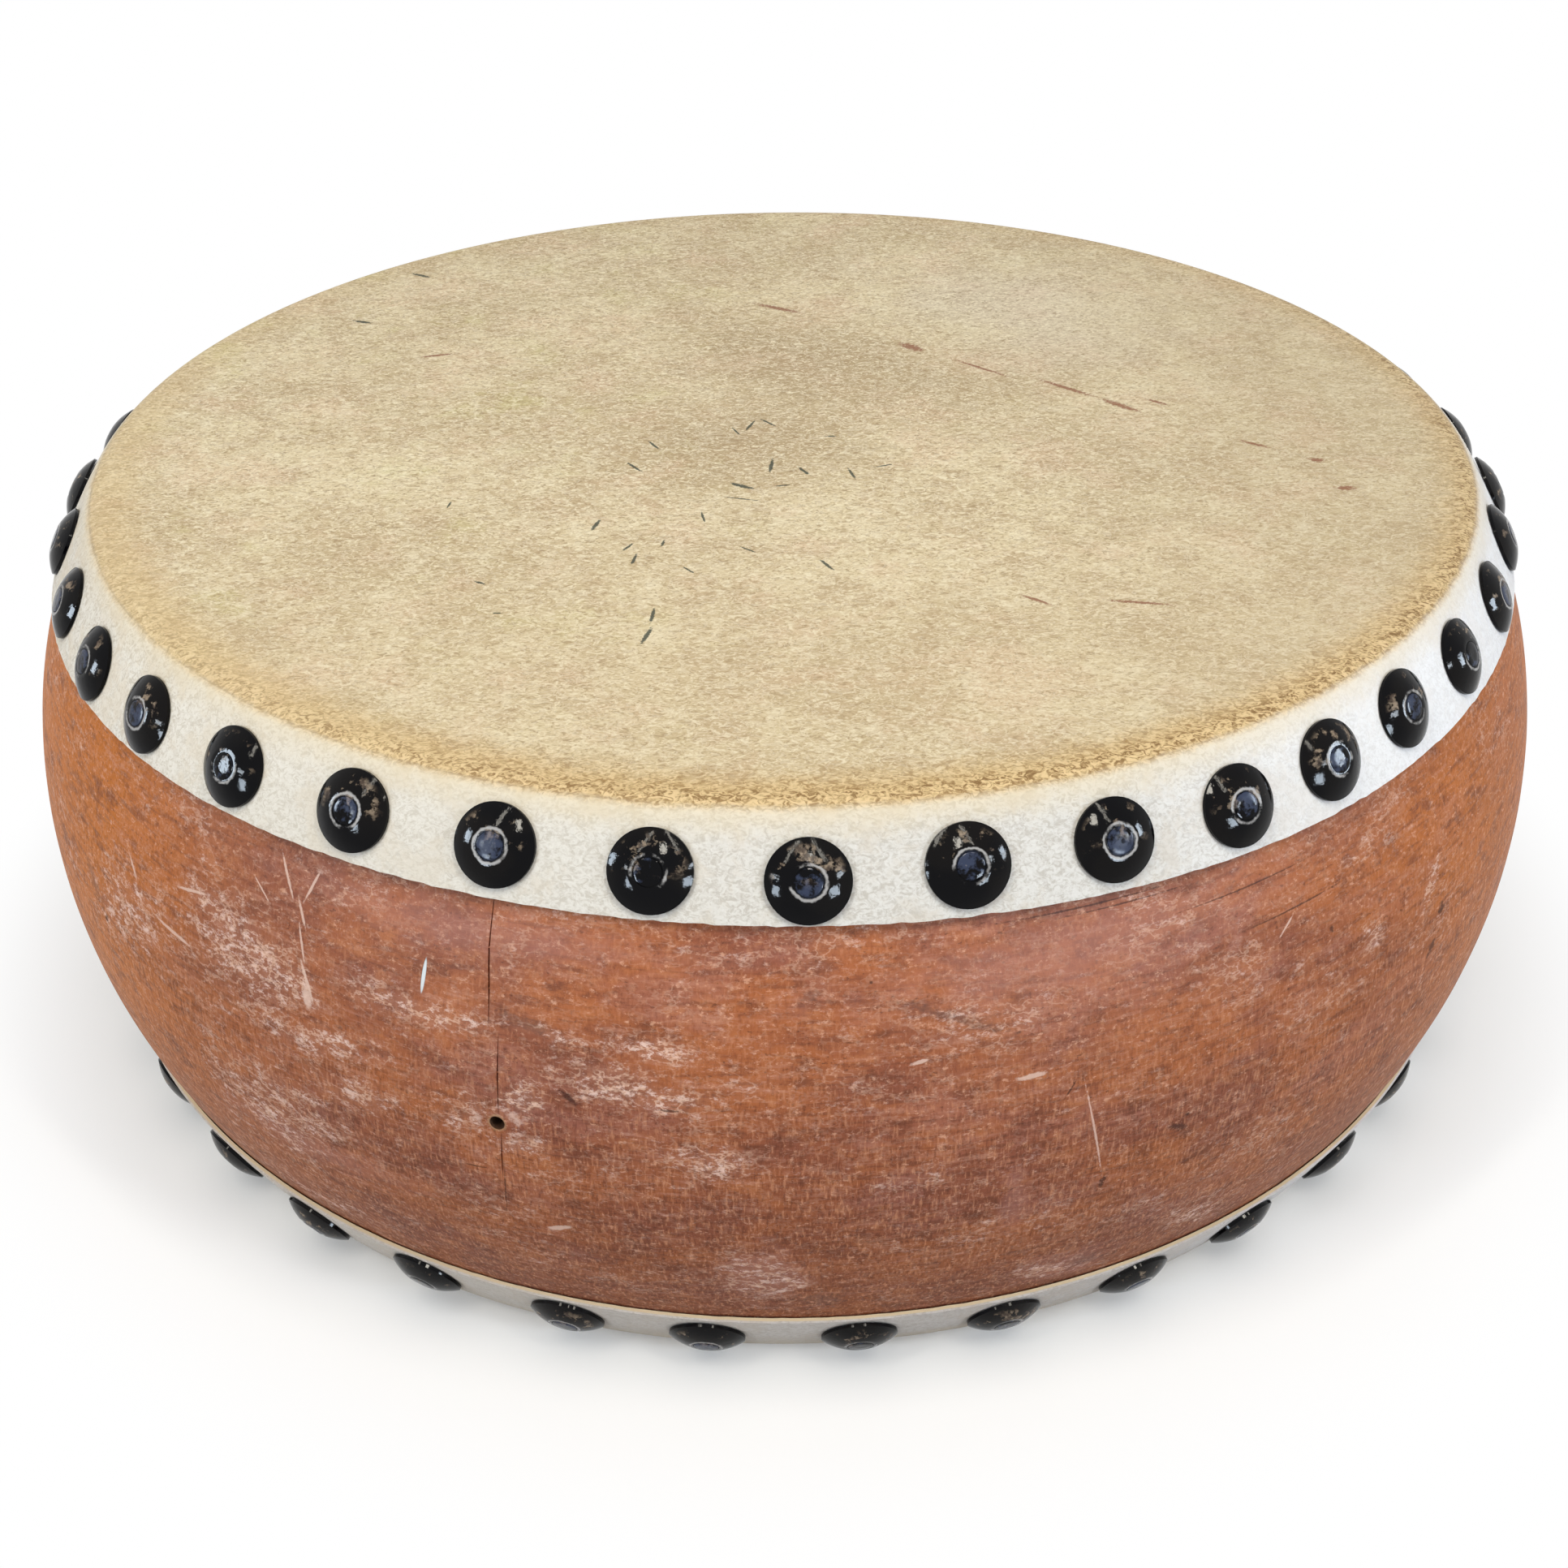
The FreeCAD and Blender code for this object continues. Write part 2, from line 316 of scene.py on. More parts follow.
def worn_wood():
    """Stained hardwood, whose marks are laid out on the shell's side as if it were unrolled."""
    material, shader, place = blank("worn_wood")
    x, y, z = place.parts()
    turn = x.math("ARCTAN2", x, y * -1)
    unrolled = place.node("CombineXYZ", {}, {0: turn * belly_radius, 1: z})

    # The stain, redder at the front. Towards the sides it is painted brighter and more orange, most on the
    # left, as side light, and low down it is painted darker, as shade.
    cloud = place.grain(0.045, 4, 0.6, (1, 1, 0.5), 3)
    haze = place.grain(0.022, 4, 0.65, (1.8, 1.8, 1), 15)
    colour = cloud.ease(0.38, 0.62).between(seen(144, 84, 62), seen(174, 102, 62))
    colour = (haze.ease(0.5, 0.66) * 0.5).between(colour, seen(158, 102, 90))
    # Painted side light: brighter and more orange towards the sides, most on the left.
    side_lit = (turn * turn).ease(0.25, 0.95)
    colour = (side_lit * (0.7 - x * 0.9)).between(colour, seen(202, 116, 34))
    # Painted shade: darker low down.
    colour = (z.ease(0.08, 0.025) * 0.5).between(colour, seen(124, 70, 46))

    # The grain: mottling, smears round the drum, upright fibres and short flecks.
    mottle = place.grain(0.006, 5, 0.7, (1.6, 1.6, 1), 97)
    smears = place.grain(0.0016, 4, 0.65, (8, 8, 1), 11)
    fibres = place.grain(0.0007, 3, 0.6, (1, 1, 5), 5)
    flecks = place.grain(0.0012, 4, 0.7, (1.6, 1.6, 1), 83)
    colour = (mottle.ease(0.48, 0.34) * 0.6).between(colour, seen(108, 60, 42))
    colour = (mottle.ease(0.54, 0.68) * 0.4).between(colour, seen(200, 128, 82))
    colour = (smears.ease(0.5, 0.34) * 0.5).between(colour, seen(104, 60, 46))
    colour = (smears.ease(0.54, 0.7) * 0.4).between(colour, seen(196, 140, 118))
    hatched = z.ease(0.115, 0.07) * 0.3 + 0.25
    colour = (fibres.ease(0.48, 0.32) * hatched).between(colour, seen(96, 52, 38))
    colour = (fibres.ease(0.53, 0.68) * hatched).between(colour, seen(214, 150, 112))
    colour = (flecks.ease(0.56, 0.7) * 0.65).between(colour, seen(224, 172, 142))
    colour = (flecks.ease(0.4, 0.3) * 0.6).between(colour, seen(78, 44, 34))

    # The scuffs, where the stain has flaked off, and faint ones astray between them.
    ragged = place.grain(0.007, 5, 0.75, (1.8, 1.8, 1), 61)
    flakes = place.grain(0.0024, 5, 0.8, (2.2, 2.2, 1), 71)
    curls = abs(place.grain(0.0036, 3, 0.6, (1.8, 1.8, 1), 41) - 0.5).ease(0.04, 0.0)
    rubbed = (unrolled.reach(scuffed_places) + (ragged - 0.5) * 3.6).ease(1.3, 0.1)
    strayed = place.grain(0.016, 5, 0.7, (1.8, 1.8, 1), 67).ease(0.5, 0.68)
    scuffs = rubbed.most(strayed * 0.5)
    flaked = (flakes + scuffs * 0.1).ease(0.54, 0.68) * flecks.ease(0.44, 0.56)
    # Mauve patches, and under the upper skirt a painted mauve reflection.
    mauve_and_sheen = (unrolled.reach(mauve_patches_and_sheen) + (ragged - 0.5) * 2.4).ease(1.3, 0.2)
    colour = (mauve_and_sheen * 0.4).between(colour, seen(178, 122, 110))
    colour = (scuffs * 0.35).between(colour, seen(180, 128, 108))
    colour = (flaked * (scuffs * 0.65 + 0.25)).between(colour, seen(236, 206, 194))
    colour = (curls * (scuffs * 0.6 + 0.1)).between(colour, seen(230, 190, 166))

    # Single marks, each rim made uneven by the flecks.
    wobble = (flecks - 0.5) * 1.8
    scratched = (unrolled.reach(pale_scratches) + wobble).ease(1.25, 0.7)
    marked = (unrolled.reach(dark_marks) + wobble * 1.4).ease(1.2, 0.4)
    sooty = (unrolled.reach(soot_marks) + wobble * 2).ease(1.2, 0.3)
    nicked = unrolled.reach(white_nick).ease(1.05, 0.8)
    colour = (sooty * 0.4).between(colour, seen(92, 72, 66))
    colour = (marked * 0.75).between(colour, seen(60, 34, 28))
    colour = (scratched * 0.75).between(colour, seen(232, 200, 184))
    colour = nicked.between(colour, seen(226, 232, 236))

    # Round the drilled hole, the wood is bare, with a pale ring where a fitting has been; inside the hole,
    # dark is painted in as shade.
    from_hole = unrolled.reach(hole_place)
    bare = (from_hole + wobble * 0.6).ease(2.6, 2.0)
    plate_ghost = abs(from_hole + wobble * 1.4 - 5.4).ease(2.4, 0.2) * (ragged + flecks).ease(0.9, 1.1)
    colour = (plate_ghost * 0.7).between(colour, seen(224, 190, 176))
    colour = (bare * 0.6).between(colour, seen(176, 140, 104))
    # Painted shade inside the hole.
    colour = from_hole.ease(1.95, 1.75).between(colour, seen(46, 30, 24))

    # The relief: each pattern rises by about a tenth of a millimetre, and the nick is cut deeper.
    feed(shader, Base_Color=colour, Roughness=0.46 + 0.18 * scuffs + 0.1 * smears)
    height = (fibres * (0.08 * mm) + smears * (0.07 * mm) + mottle * (0.12 * mm) + flecks * (0.05 * mm)
              - nicked * (0.3 * mm))
    feed(shader, Normal=raised(height, 0.9))
    shader.inputs["Specular IOR Level"].default_value = 0.08
    return material


# Each run of the crack is given in degrees and metres, and starts beside the end of the last. A
# run is cut as a wedge, which closes towards its two ends.
crack_runs = (((-18.36, 0.1420), (-18.44, 0.1300), (-18.30, 0.1210), (-18.26, 0.1125)),
              ((-17.62, 0.1105), (-17.72, 0.1010), (-17.77, 0.0895)),
              ((-17.67, 0.0845), (-17.80, 0.0780), (-17.93, 0.0700)))
crack_half_width = 0.27 * mm
crack_depth = 6 * mm
end_width_share = 0.5
end_depth_share = 0.25
hole_radius = 1.8 * mm
hole_steps = 32
unevenness = 0.35 * mm
broad_waves = 14  # to the metre, as the fine ones are
fine_waves = 70

shell_outline = Outline(land_radius, shell_low.z)
shell_outline.line(rounding_centre, shell_low.z, 2)
shell_outline.arc(rounding_centre, shell_low.z + rim_radius, square - rounding_start, rounding_steps)
shell_outline.arc(side_centre, middle, 2 * rounding_start, side_steps)
shell_outline.arc(rounding_centre, shell_high.z - rim_radius, square - rounding_start, rounding_steps)
shell_outline.line(land_radius, shell_high.z, 2)
shell_outline.line(mouth_radius, shell_high.z - rim_bevel, 2)
shell_outline.arc(mouth_radius + bow_depth - bow_radius, middle,
                  -2 * math.asin(bow_height / bow_radius), hollow_steps)
shell_outline.line(land_radius, shell_low.z, 2)
wood = shell_outline.turned(turning_steps)
for vert in wood.verts:
    out = Vector((vert.co.x, vert.co.y, 0))
    waviness = 0.5 + 0.35 * noise.noise(vert.co * broad_waves) + 0.15 * noise.noise(vert.co * fine_waves)
    vert.co -= out.normalized() * unevenness * waviness

shell = settle("turned_shell", wood, worn_wood())
outwards = on_wood(hole_azimuth, middle) - Vector((0, 0, middle))
outwards.normalize()
sideways = outwards.cross(Vector((0, 0, 1)))
cutter = bmesh.new()
bmesh.ops.create_cone(cutter, cap_ends=True, segments=hole_steps, radius1=hole_radius,
                      radius2=hole_radius, depth=3 * belly_wall)
drill_middle = on_wood(hole_azimuth, hole_height * mm, sunk=belly_wall / 2)
cutter.transform(Matrix.Translation(drill_middle) @ outwards.to_track_quat("Z", "Y").to_matrix().to_4x4())
for run in crack_runs:
    wedge = None
    for azimuth, height in run:
        tapered = (azimuth, height) in (run[0], run[-1])
        width = crack_half_width * (end_width_share if tapered else 1)
        depth = crack_depth * (end_depth_share if tapered else 1)
        mouth = on_wood(azimuth, height, sunk=-mm)
        corners = [mouth + sideways * width, mouth - outwards * depth, mouth - sideways * width]
        if wedge is None:
            wedge = cutter.faces.new([cutter.verts.new(corner) for corner in corners])
        else:
            grown = bmesh.ops.extrude_face_region(cutter, geom=[wedge])
            wedge = next(part for part in grown["geom"] if isinstance(part, bmesh.types.BMFace))
            for vert in wedge.verts:
                vert.co = corners[min(range(3), key=lambda place: (vert.co - before[place]).length)]
        before = corners
carve(shell, cutter)
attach(shell, "root")
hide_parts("shell")

# The two heads. Each is a round of rawhide, wetted and stretched over the rim, with its skirt
# nailed down round the side and trimmed with a knife. It dried hard, tan and mottled on the
# head, yellow and rubbed on the rim, and nearly white on the skirt.
hide_thickness = 1.3 * mm
head_dip = 0.5 * mm
hide_steps = 576  # round the drum
flat_steps = 22
flat_share = 0.86  # of the flat's radius has these steps, and the rest has finer ones
flat_edge_steps = 8
over_rim_steps = 8
skirt_steps = 16
trimmings = {  # of each end: the skirt's depth, how far its edge swings, and where it is deepest
    1: (23.5 * mm, 0.9 * mm, 38),
    -1: (20.8 * mm, 0.6 * mm, -45),
}
swings = 3  # waves of each cut edge, round the drum
fray = 0.22 * mm
slow_fray = 60  # lumps to the radian, round the drum
quick_fray = 150
peck_length = 1.4  # shares of the lengths and widths that are given below
peck_width = 0.6
pecks = (
    (-49, -57, 2.6, 1.1, 75), (-40, -70, 1.8, 0.8, 60), (-38, -77, 2.4, 0.8, 80), (-41, -21, 3.0, 0.9, -55),
    (-36, -7, 2.6, 0.8, -60), (-31, -68, 1.5, 0.7, 80), (-32, -107, 2.9, 0.9, 85), (-33, -117, 3.4, 1.1, 75),
    (-24, -83, 1.8, 0.6, -50), (-21, -53, 2.4, 0.6, -80), (-9, -72, 2.2, 0.6, -40), (-9, 6, 3.0, 0.8, 70),
    (-3, -21, 3.6, 1.0, 85), (6, -25, 2.4, 0.9, -60), (19, -27, 2.8, 0.8, -75), (-11, -34, 3.0, 1.5, -30),
    (0, -34, 1.6, 0.7, 10), (11, -81, 2.6, 0.9, -60), (-89, -44, 1.7, 0.6, 80), (-76, -89, 1.4, 0.8, -30),
    (-11, -42, 3.4, 0.5, -15), (-4, 8, 2.6, 0.7, -50), (14, -2, 1.4, 0.8, 0), (-70, -105, 1.0, 0.6, 0),
    (-119, 129, 3.0, 1.4, -30), (-132, 88, 2.6, 1.5, -20), (28, -22, 2.0, 0.6, 20), (-13, 2, 2.2, 0.6, -65))
rust_streaks = (
    (-1, 96.5, 7.5, 1.2, -30), (40, 63, 4.2, 1.9, -45), (84, 30, 8.5, 0.9, -42), (98, 17, 6.5, 1.2, -44),
    (132, -11, 4.5, 0.7, -35), (147, -22, 2.0, 1.3, -20), (151, -40, 2.4, 1.2, 0), (60, 46, 9, 0.6, -42),
    (62, -101, 4.5, 0.6, -38), (87, -103, 7.0, 0.6, -10), (109, 19, 3.5, 0.7, -40), (-105, 60, 5, 0.7, 15))


def rawhide():
    """The hide, which reads how far out over the rim a point lies: on the head, rim or skirt."""
    material, shader, place = blank("rawhide")
    x, y, z = place.parts()
    level = place.vector("MULTIPLY", (1, 1, 0))
    radius = level.vector("LENGTH", out="Value")
    up = z - middle
    over = radius + (wood_half_height + hide_stack) - abs(up)  # how far out over the rim
    rightward = x / radius
    frontward = y / radius * -1

    # The head: tan, with clouds, blotches and a stain, over a felt of fine strokes, and painted shade that
    # darkens it towards the right and towards the front.
    cloud = place.grain(0.05, 4, 0.6, (1, 1, 1), 2)
    blotches = place.grain(0.013, 5, 0.7, (1, 1, 1), 14)
    blush = place.grain(0.032, 4, 0.65, (1, 1, 1), 27)
    felt = place.grain(0.0013, 3, 0.6, (1.5, 1, 1), 31, 1.4)
    speckle = place.grain(0.0009, 3, 0.6, (1, 1, 1), 47)
    hairs = abs(place.grain(0.0036, 3, 0.65, (1.3, 1, 1), 53, 0.8) - 0.5).ease(0.05, 0.0)
    ragged = place.grain(0.006, 5, 0.75, (1, 1, 1), 77)

    tan_and_shade = cloud.ease(0.36, 0.64).between(seen(200, 180, 144), seen(221, 204, 168))
    tan_and_shade = (blotches.ease(0.48, 0.62) * 0.6).between(tan_and_shade, seen(190, 166, 132))
    tan_and_shade = (blotches.ease(0.44, 0.32) * 0.5).between(tan_and_shade, seen(234, 222, 192))
    tan_and_shade = (blush.ease(0.5, 0.66) * 0.35).between(tan_and_shade, seen(222, 188, 160))
    greenish = blush.ease(0.46, 0.3) * (rightward.ease(0.2, -0.8) * 0.35 + 0.12)
    tan_and_shade = greenish.between(tan_and_shade, seen(208, 200, 140))
    stain = level.reach([(14, 50, 64, 42, -25), (-8, 0, 44, 32, 30)])
    stained = (stain + (blotches - 0.5) * 2.6).ease(1.15, 0.1)
    tan_and_shade = (stained * 0.6).between(tan_and_shade, seen(168, 144, 110))
    pallid = (level.reach([(78, 92, 66, 46, -35)]) + (cloud - 0.5) * 2).ease(1.2, 0.2)
    tan_and_shade = (pallid * 0.4).between(tan_and_shade, seen(226, 216, 200))
    tan_and_shade = (felt.ease(0.5, 0.32) * 0.8).between(tan_and_shade, seen(164, 140, 106))
    tan_and_shade = (felt.ease(0.51, 0.66) * 0.7).between(tan_and_shade, seen(247, 237, 210))
    tan_and_shade = (hairs * 0.4).between(tan_and_shade, seen(246, 236, 212))
    # Painted shade: darker towards the right and towards the front.
    tan_and_shade = (x.ease(0.03, 0.17) * 0.3).between(tan_and_shade, seen(182, 164, 134))
    tan_and_shade = (y.ease(-0.03, -0.15) * 0.2).between(tan_and_shade, seen(190, 168, 134))
    wobble = (speckle - 0.5) * 2.6
    on_top = up.ease(0.0, 10 * mm)
    slim_pecks = [(x, y, peck_length * long, peck_width * wide, turn) for x, y, long, wide, turn in pecks]
    pecked = (level.reach(slim_pecks) + wobble * 0.6).ease(1.1, 0.6) * on_top
    streaked = (level.reach(rust_streaks) + wobble).ease(1.4, 0.5) * on_top
    tan_and_shade = (streaked * 0.85).between(tan_and_shade, seen(140, 88, 62))
    tan_and_shade = (pecked * 0.9).between(tan_and_shade, seen(48, 58, 48))

    # The rim, golden and grimy at the front, and painted lighter on the left as side light; the skirt,
    # bleached nearly white, greyer towards the front, and painted bluish white on the right as window light.
    golden_and_side_light = felt.ease(0.36, 0.62).between(seen(166, 133, 84), seen(221, 194, 146))
    golden_and_side_light = (blotches.ease(0.52, 0.68) * 0.5).between(golden_and_side_light, seen(180, 150, 102))
    # Painted side light: the rim lighter on the left.
    golden_and_side_light = (rightward.ease(-0.2, -0.9) * 0.4).between(golden_and_side_light, seen(236, 214, 168))
    skirt_and_painted_light = felt.ease(0.36, 0.6).between(seen(190, 182, 174), seen(238, 236, 234))
    skirt_and_painted_light = (hairs * 0.4).between(skirt_and_painted_light, seen(252, 251, 250))
    skirt_and_painted_light = (blotches.ease(0.48, 0.62) * 0.5).between(skirt_and_painted_light, seen(218, 202, 182))
    skirt_and_painted_light = (frontward.ease(0.5, 1.0) * 0.5).between(skirt_and_painted_light, seen(196, 192, 184))
    skirt_and_painted_light = (rightward.ease(0.3, -0.9) * 0.4).between(skirt_and_painted_light, seen(236, 224, 198))
    # Painted window light: the skirt bluish white on the right.
    skirt_and_painted_light = (rightward.ease(0.3, 0.8) * 0.7).between(skirt_and_painted_light, seen(248, 249, 254))

    # Where head, rim and skirt meet, in metres over the rim from the middle of the head.
    waver = (ragged - 0.5) * (9 * mm)
    inward = over + waver - rightward * (2 * mm)
    worn_rim = (frontward * 0.4 + rightward * 0.1 + 0.55).least(1)
    on_rim = inward.ease(0.174, 0.187) * worn_rim
    grimy = abs(over - 0.1885 + waver * 0.5).ease(4 * mm, 0.5 * mm) * felt.ease(0.52, 0.36)
    grimy = grimy * (frontward * 0.5 + rightward * 0.5 + 0.35).least(1).most(0)
    on_skirt = (over + waver * 0.4).ease(0.1905, 0.1945)
    yellowed = (over + waver).ease(0.205, 0.193) * worn_rim
    skirt_and_painted_light = (yellowed * 0.5).between(skirt_and_painted_light, seen(222, 202, 160))
    smear = (level.reach([(-14, -204, 7, 3, 4)]) + wobble).ease(1.2, 0.4) * up.ease(72 * mm, 76 * mm)
    skirt_and_painted_light = (smear * 0.4).between(skirt_and_painted_light, seen(140, 176, 172))
    # Painted shade: the lower skirt greyer, as it faces down.
    skirt_and_painted_light = (up.ease(-40 * mm, -60 * mm) * 0.3).between(skirt_and_painted_light, seen(190, 180, 178))
    colour = on_rim.between(tan_and_shade, golden_and_side_light)
    colour = on_skirt.between(colour, skirt_and_painted_light)
    colour = (grimy * 0.8).between(colour, seen(122, 90, 52))

    # The cut edge, creamy on the lower skirt, where it faces up, and painted dark on the upper skirt, as the
    # shade under its downward face.
    from_ring = place.node("CombineXYZ", {}, {0: radius - side_centre, 1: up})
    sunk = (side_radius + hide_stack) - from_ring.vector("LENGTH", out="Value")
    cut = sunk.ease(0.42 * mm, 0.6 * mm) * on_skirt
    # Painted shade: the upper skirt's cut edge dark, the lower one cream.
    edge = up.ease(-1 * mm, 1 * mm).between(seen(226, 206, 168), seen(112, 84, 66))
    feed(shader, Base_Color=cut.between(colour, edge), Roughness=0.55 + 0.2 * felt)
    height = (felt * (0.09 * mm) + speckle * (0.05 * mm) + blotches * (0.2 * mm)
              + on_rim * speckle * (0.15 * mm))
    feed(shader, Normal=raised(height, 0.8))
    shader.inputs["Specular IOR Level"].default_value = 0.25
    return material


def stretched_hide(name, end, finish):
    """One hide, end being 1 for the upper and -1 for the lower."""
    skirt_depth, swing, deepest = trimmings[end]
    hide_side = side_radius + hide_stack
    cut_angle = math.asin((wood_half_height + hide_stack - skirt_depth) / hide_side)
    hide_radius = (rounding_centre + (square - rounding_start) * (rim_radius + hide_stack)
                   + (rounding_start - cut_angle) * hide_side)
    plane = middle + end * (wood_half_height + hide_stack)
    outline = Outline(0, plane)
    outline.line(rounding_centre * flat_share, plane, flat_steps)
    outline.line(rounding_centre, plane, flat_edge_steps)
    outline.arc(rounding_centre, middle + end * rounding_rise, -end * (square - rounding_start),
                over_rim_steps)
    outline.arc(side_centre, middle, -end * (rounding_start - cut_angle), skirt_steps)
    mesh = outline.turned(hide_steps)
    if sum(face.normal.z * end for face in mesh.faces) < 0:
        bmesh.ops.reverse_faces(mesh, faces=mesh.faces)
    skirt_start = rounding_rise * hide_side / (side_radius - rim_radius)
    for vert in mesh.verts:
        out = Vector((vert.co.x, vert.co.y, 0))
        height = vert.co.z - middle
        if abs(height) > skirt_start:
            vert.co.z -= end * head_dip * max(0.0, 1 - out.length / rounding_centre)
            continue
        out.normalize()
        azimuth = math.degrees(math.atan2(out.x, -out.y))
        swung = swing * math.cos(math.radians(swings * (azimuth - deepest)))
        frayed = fray * (noise.noise(out * slow_fray) + noise.noise(out * quick_fray))
        share = (skirt_start - abs(height)) / (skirt_start - hide_side * math.sin(cut_angle))
        height -= end * share**2 * (swung + frayed)
        vert.co = out * (side_centre + math.sqrt(hide_side**2 - height**2))
        vert.co.z = middle + height
    bmesh.ops.solidify(mesh, geom=mesh.faces[:], thickness=hide_thickness)
    bmesh.ops.recalc_face_normals(mesh, faces=mesh.faces)
    piece = settle(name, mesh, finish)
    2 * hide_radius
    2 * hide_radius
    math.pi * hide_radius**2
    return piece


hide_finish = rawhide()
for name, node, end in (("upper_hide", "upper_head", 1), ("lower_hide", "lower_head", -1)):
    hide = stretched_hide(name, end, hide_finish)
    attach(hide, "root")
    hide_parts(node)

# The studs. Each is a cap pressed from sheet steel and painted gloss black, with a flat dished top
# that a flat-headed nail is driven through. Hammering has left chips in the paint and pale worn rings on
# the tops, which also stand for a painted highlight on the dish's lip; the upper halves carry bronze wear
# with a painted warm reflection, and the nail heads a painted bluish reflection.
cap_radius = 9.5 * mm
cap_height = 3.3 * mm
cap_edge = 0.8 * mm
cap_sheet = 0.8 * mm
flat_radius = 4.2 * mm
dish_depth = 0.6 * mm
nail_head_radius = 3.1 * mm
nail_head_thickness = 0.8 * mm
nail_top_share = 0.85  # of the head's radius, where its bevel begins
nail_side_share = 0.8  # of the head's thickness, where the bevel ends
nail_radius = 1.2 * mm
nail_length = 20 * mm
nail_point = 3 * mm
dish_clearance = 0.15 * mm
nail_clearance = 0.1 * mm
cap_steps = 48  # round a stud
nail_steps = 32
dome_steps = 10
stud_apart = 0.1  # from stud to stud in the pattern of the paint, in metres
dome_drop = ((cap_radius**2 - flat_radius**2 + cap_edge**2 - cap_height**2)
             / (2 * (cap_height - cap_edge)))
dome_radius = math.hypot(cap_radius, cap_edge + dome_drop)


def gloss_black():
    """The paint reads each stud's own place, kept in the mesh as on_stud: across, up, and a step
    for each stud along the row, so that no two are worn alike."""
    material, shader, place = blank("gloss_black")
    own = place.node("Attribute", {"attribute_name": "on_stud"}, {}, "Vector")
    up = own.parts()[1]
    radius = own.vector("MULTIPLY", (1, 1, 0)).vector("LENGTH", out="Value")
    ragged = own.grain(0.0016, 3, 0.6, (1, 1, 1), 9)
    worn = own.grain(0.0042, 4, 0.65, (1, 1, 1), 19)
    whim = own.grain(0.011, 1, 0.5, (1, 1, 1), 33)
    wobble = (ragged - 0.5) * (1.2 * mm)
    colour = whim.ease(0.4, 0.6).between(seen(5, 5, 8), seen(14, 12, 12))
    # Bronze wear on the upper half, partly a painted warm reflection of the light above.
    upper_half = (up + wobble * 3).ease(-1.5 * mm, 3 * mm)
    bronze_wear_and_reflection = worn.ease(0.55, 0.62) * upper_half * radius.ease(9 * mm, 7 * mm)
    bronze_and_warm_reflection = ragged.ease(0.4, 0.6).between(seen(84, 70, 60), seen(158, 140, 120))
    colour = (bronze_wear_and_reflection * 0.75).between(colour, bronze_and_warm_reflection)
    # A pale ring of worn paint at the dish's lip, partly a painted highlight.
    ring = abs(radius + wobble * 0.9 - 3.9 * mm).ease(0.5 * mm, 0.1 * mm) * (worn + whim).ease(0.86, 1.06)
    colour = (ring * 0.8).between(colour, seen(184, 182, 182))
    # Duller paint on the nail head, with a painted bluish reflection.
    dulled_with_blue_reflection = (radius + wobble).ease(3.5 * mm, 3.0 * mm) * (whim + ragged).ease(0.9, 1.15)
    colour = (dulled_with_blue_reflection * 0.4).between(colour, seen(84, 96, 128))
    feed(shader, Base_Color=colour, Roughness=0.06 + 0.3 * bronze_wear_and_reflection + 0.2 * ring + 0.15 * dulled_with_blue_reflection)
    height = worn * (0.2 * mm) + ragged * (0.02 * mm) - bronze_wear_and_reflection * (0.03 * mm)
    feed(shader, Normal=raised(height, 0.5))
    shader.inputs["Specular IOR Level"].default_value = 0.1
    return material


def stud_cap():
    dish = nail_head_radius + dish_clearance
    bore = nail_radius + nail_clearance
    floor = cap_height - dish_depth
    low = math.atan2(cap_edge + dome_drop, cap_radius)
    high = math.acos(flat_radius / dome_radius)
    outline = Outline(cap_radius - cap_sheet, 0)
    outline.line(cap_radius, 0)
    outline.line(cap_radius, cap_edge)
    outline.arc(0, -dome_drop, high - low, dome_steps)
    outline.line(dish, cap_height)
    outline.line(dish, floor)
    outline.line(bore, floor)
    outline.line(bore, floor - cap_sheet)
    outline.line(cap_radius - cap_sheet, 0, 4)
    return outline.turned(cap_steps)


def stud_nail():
    seat = cap_height - dish_depth
    outline = Outline(0, seat + nail_head_thickness)
    outline.line(nail_head_radius * nail_top_share, seat + nail_head_thickness, 2)
    outline.line(nail_head_radius, seat + nail_head_thickness * nail_side_share)
    outline.line(nail_head_radius, seat)
    outline.line(nail_radius, seat)
    outline.line(nail_radius, seat - nail_length + nail_point)
    outline.line(0, seat - nail_length)
    return outline.turned(nail_steps)


def stud_stands(node):
    """Where the studs of a row stand, read from the middles of the node's separate solids."""
    solids = bmesh.new()
    solids.from_mesh(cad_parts[node].data)
    bmesh.ops.remove_doubles(solids, verts=solids.verts, dist=0.001 * mm)
    waiting = set(solids.verts)
    stands = []
    while waiting:
        edge = [waiting.pop()]
        solid = list(edge)
        while edge:
            near = {link.other_vert(vert) for vert in edge for link in vert.link_edges} & waiting
            waiting -= near
            edge = list(near)
            solid += edge
        low = Vector([min(vert.co[axis] for vert in solid) for axis in range(3)])
        high = Vector([max(vert.co[axis] for vert in solid) for axis in range(3)])
        centre = (low + high) / 2
        turn = math.atan2(centre.x, -centre.y)
        tilt = math.atan2(centre.z - middle, math.hypot(centre.x, centre.y) - side_centre)
        stands.append((turn, tilt))
    solids.free()
    return sorted(stands)


def stand_up(turn, tilt):
    """The place of a stud: square to the hide's side, at a turn round the drum and a tilt."""
    outwards = Vector((math.sin(turn) * math.cos(tilt), -math.cos(turn) * math.cos(tilt), math.sin(tilt)))
    ring = Vector((math.sin(turn), -math.cos(turn), 0)) * side_centre + Vector((0, 0, middle))
    foot = ring + outwards * (side_radius + hide_stack)
    return Matrix.Translation(foot) @ outwards.to_track_quat("Z", "Y").to_matrix().to_4x4()


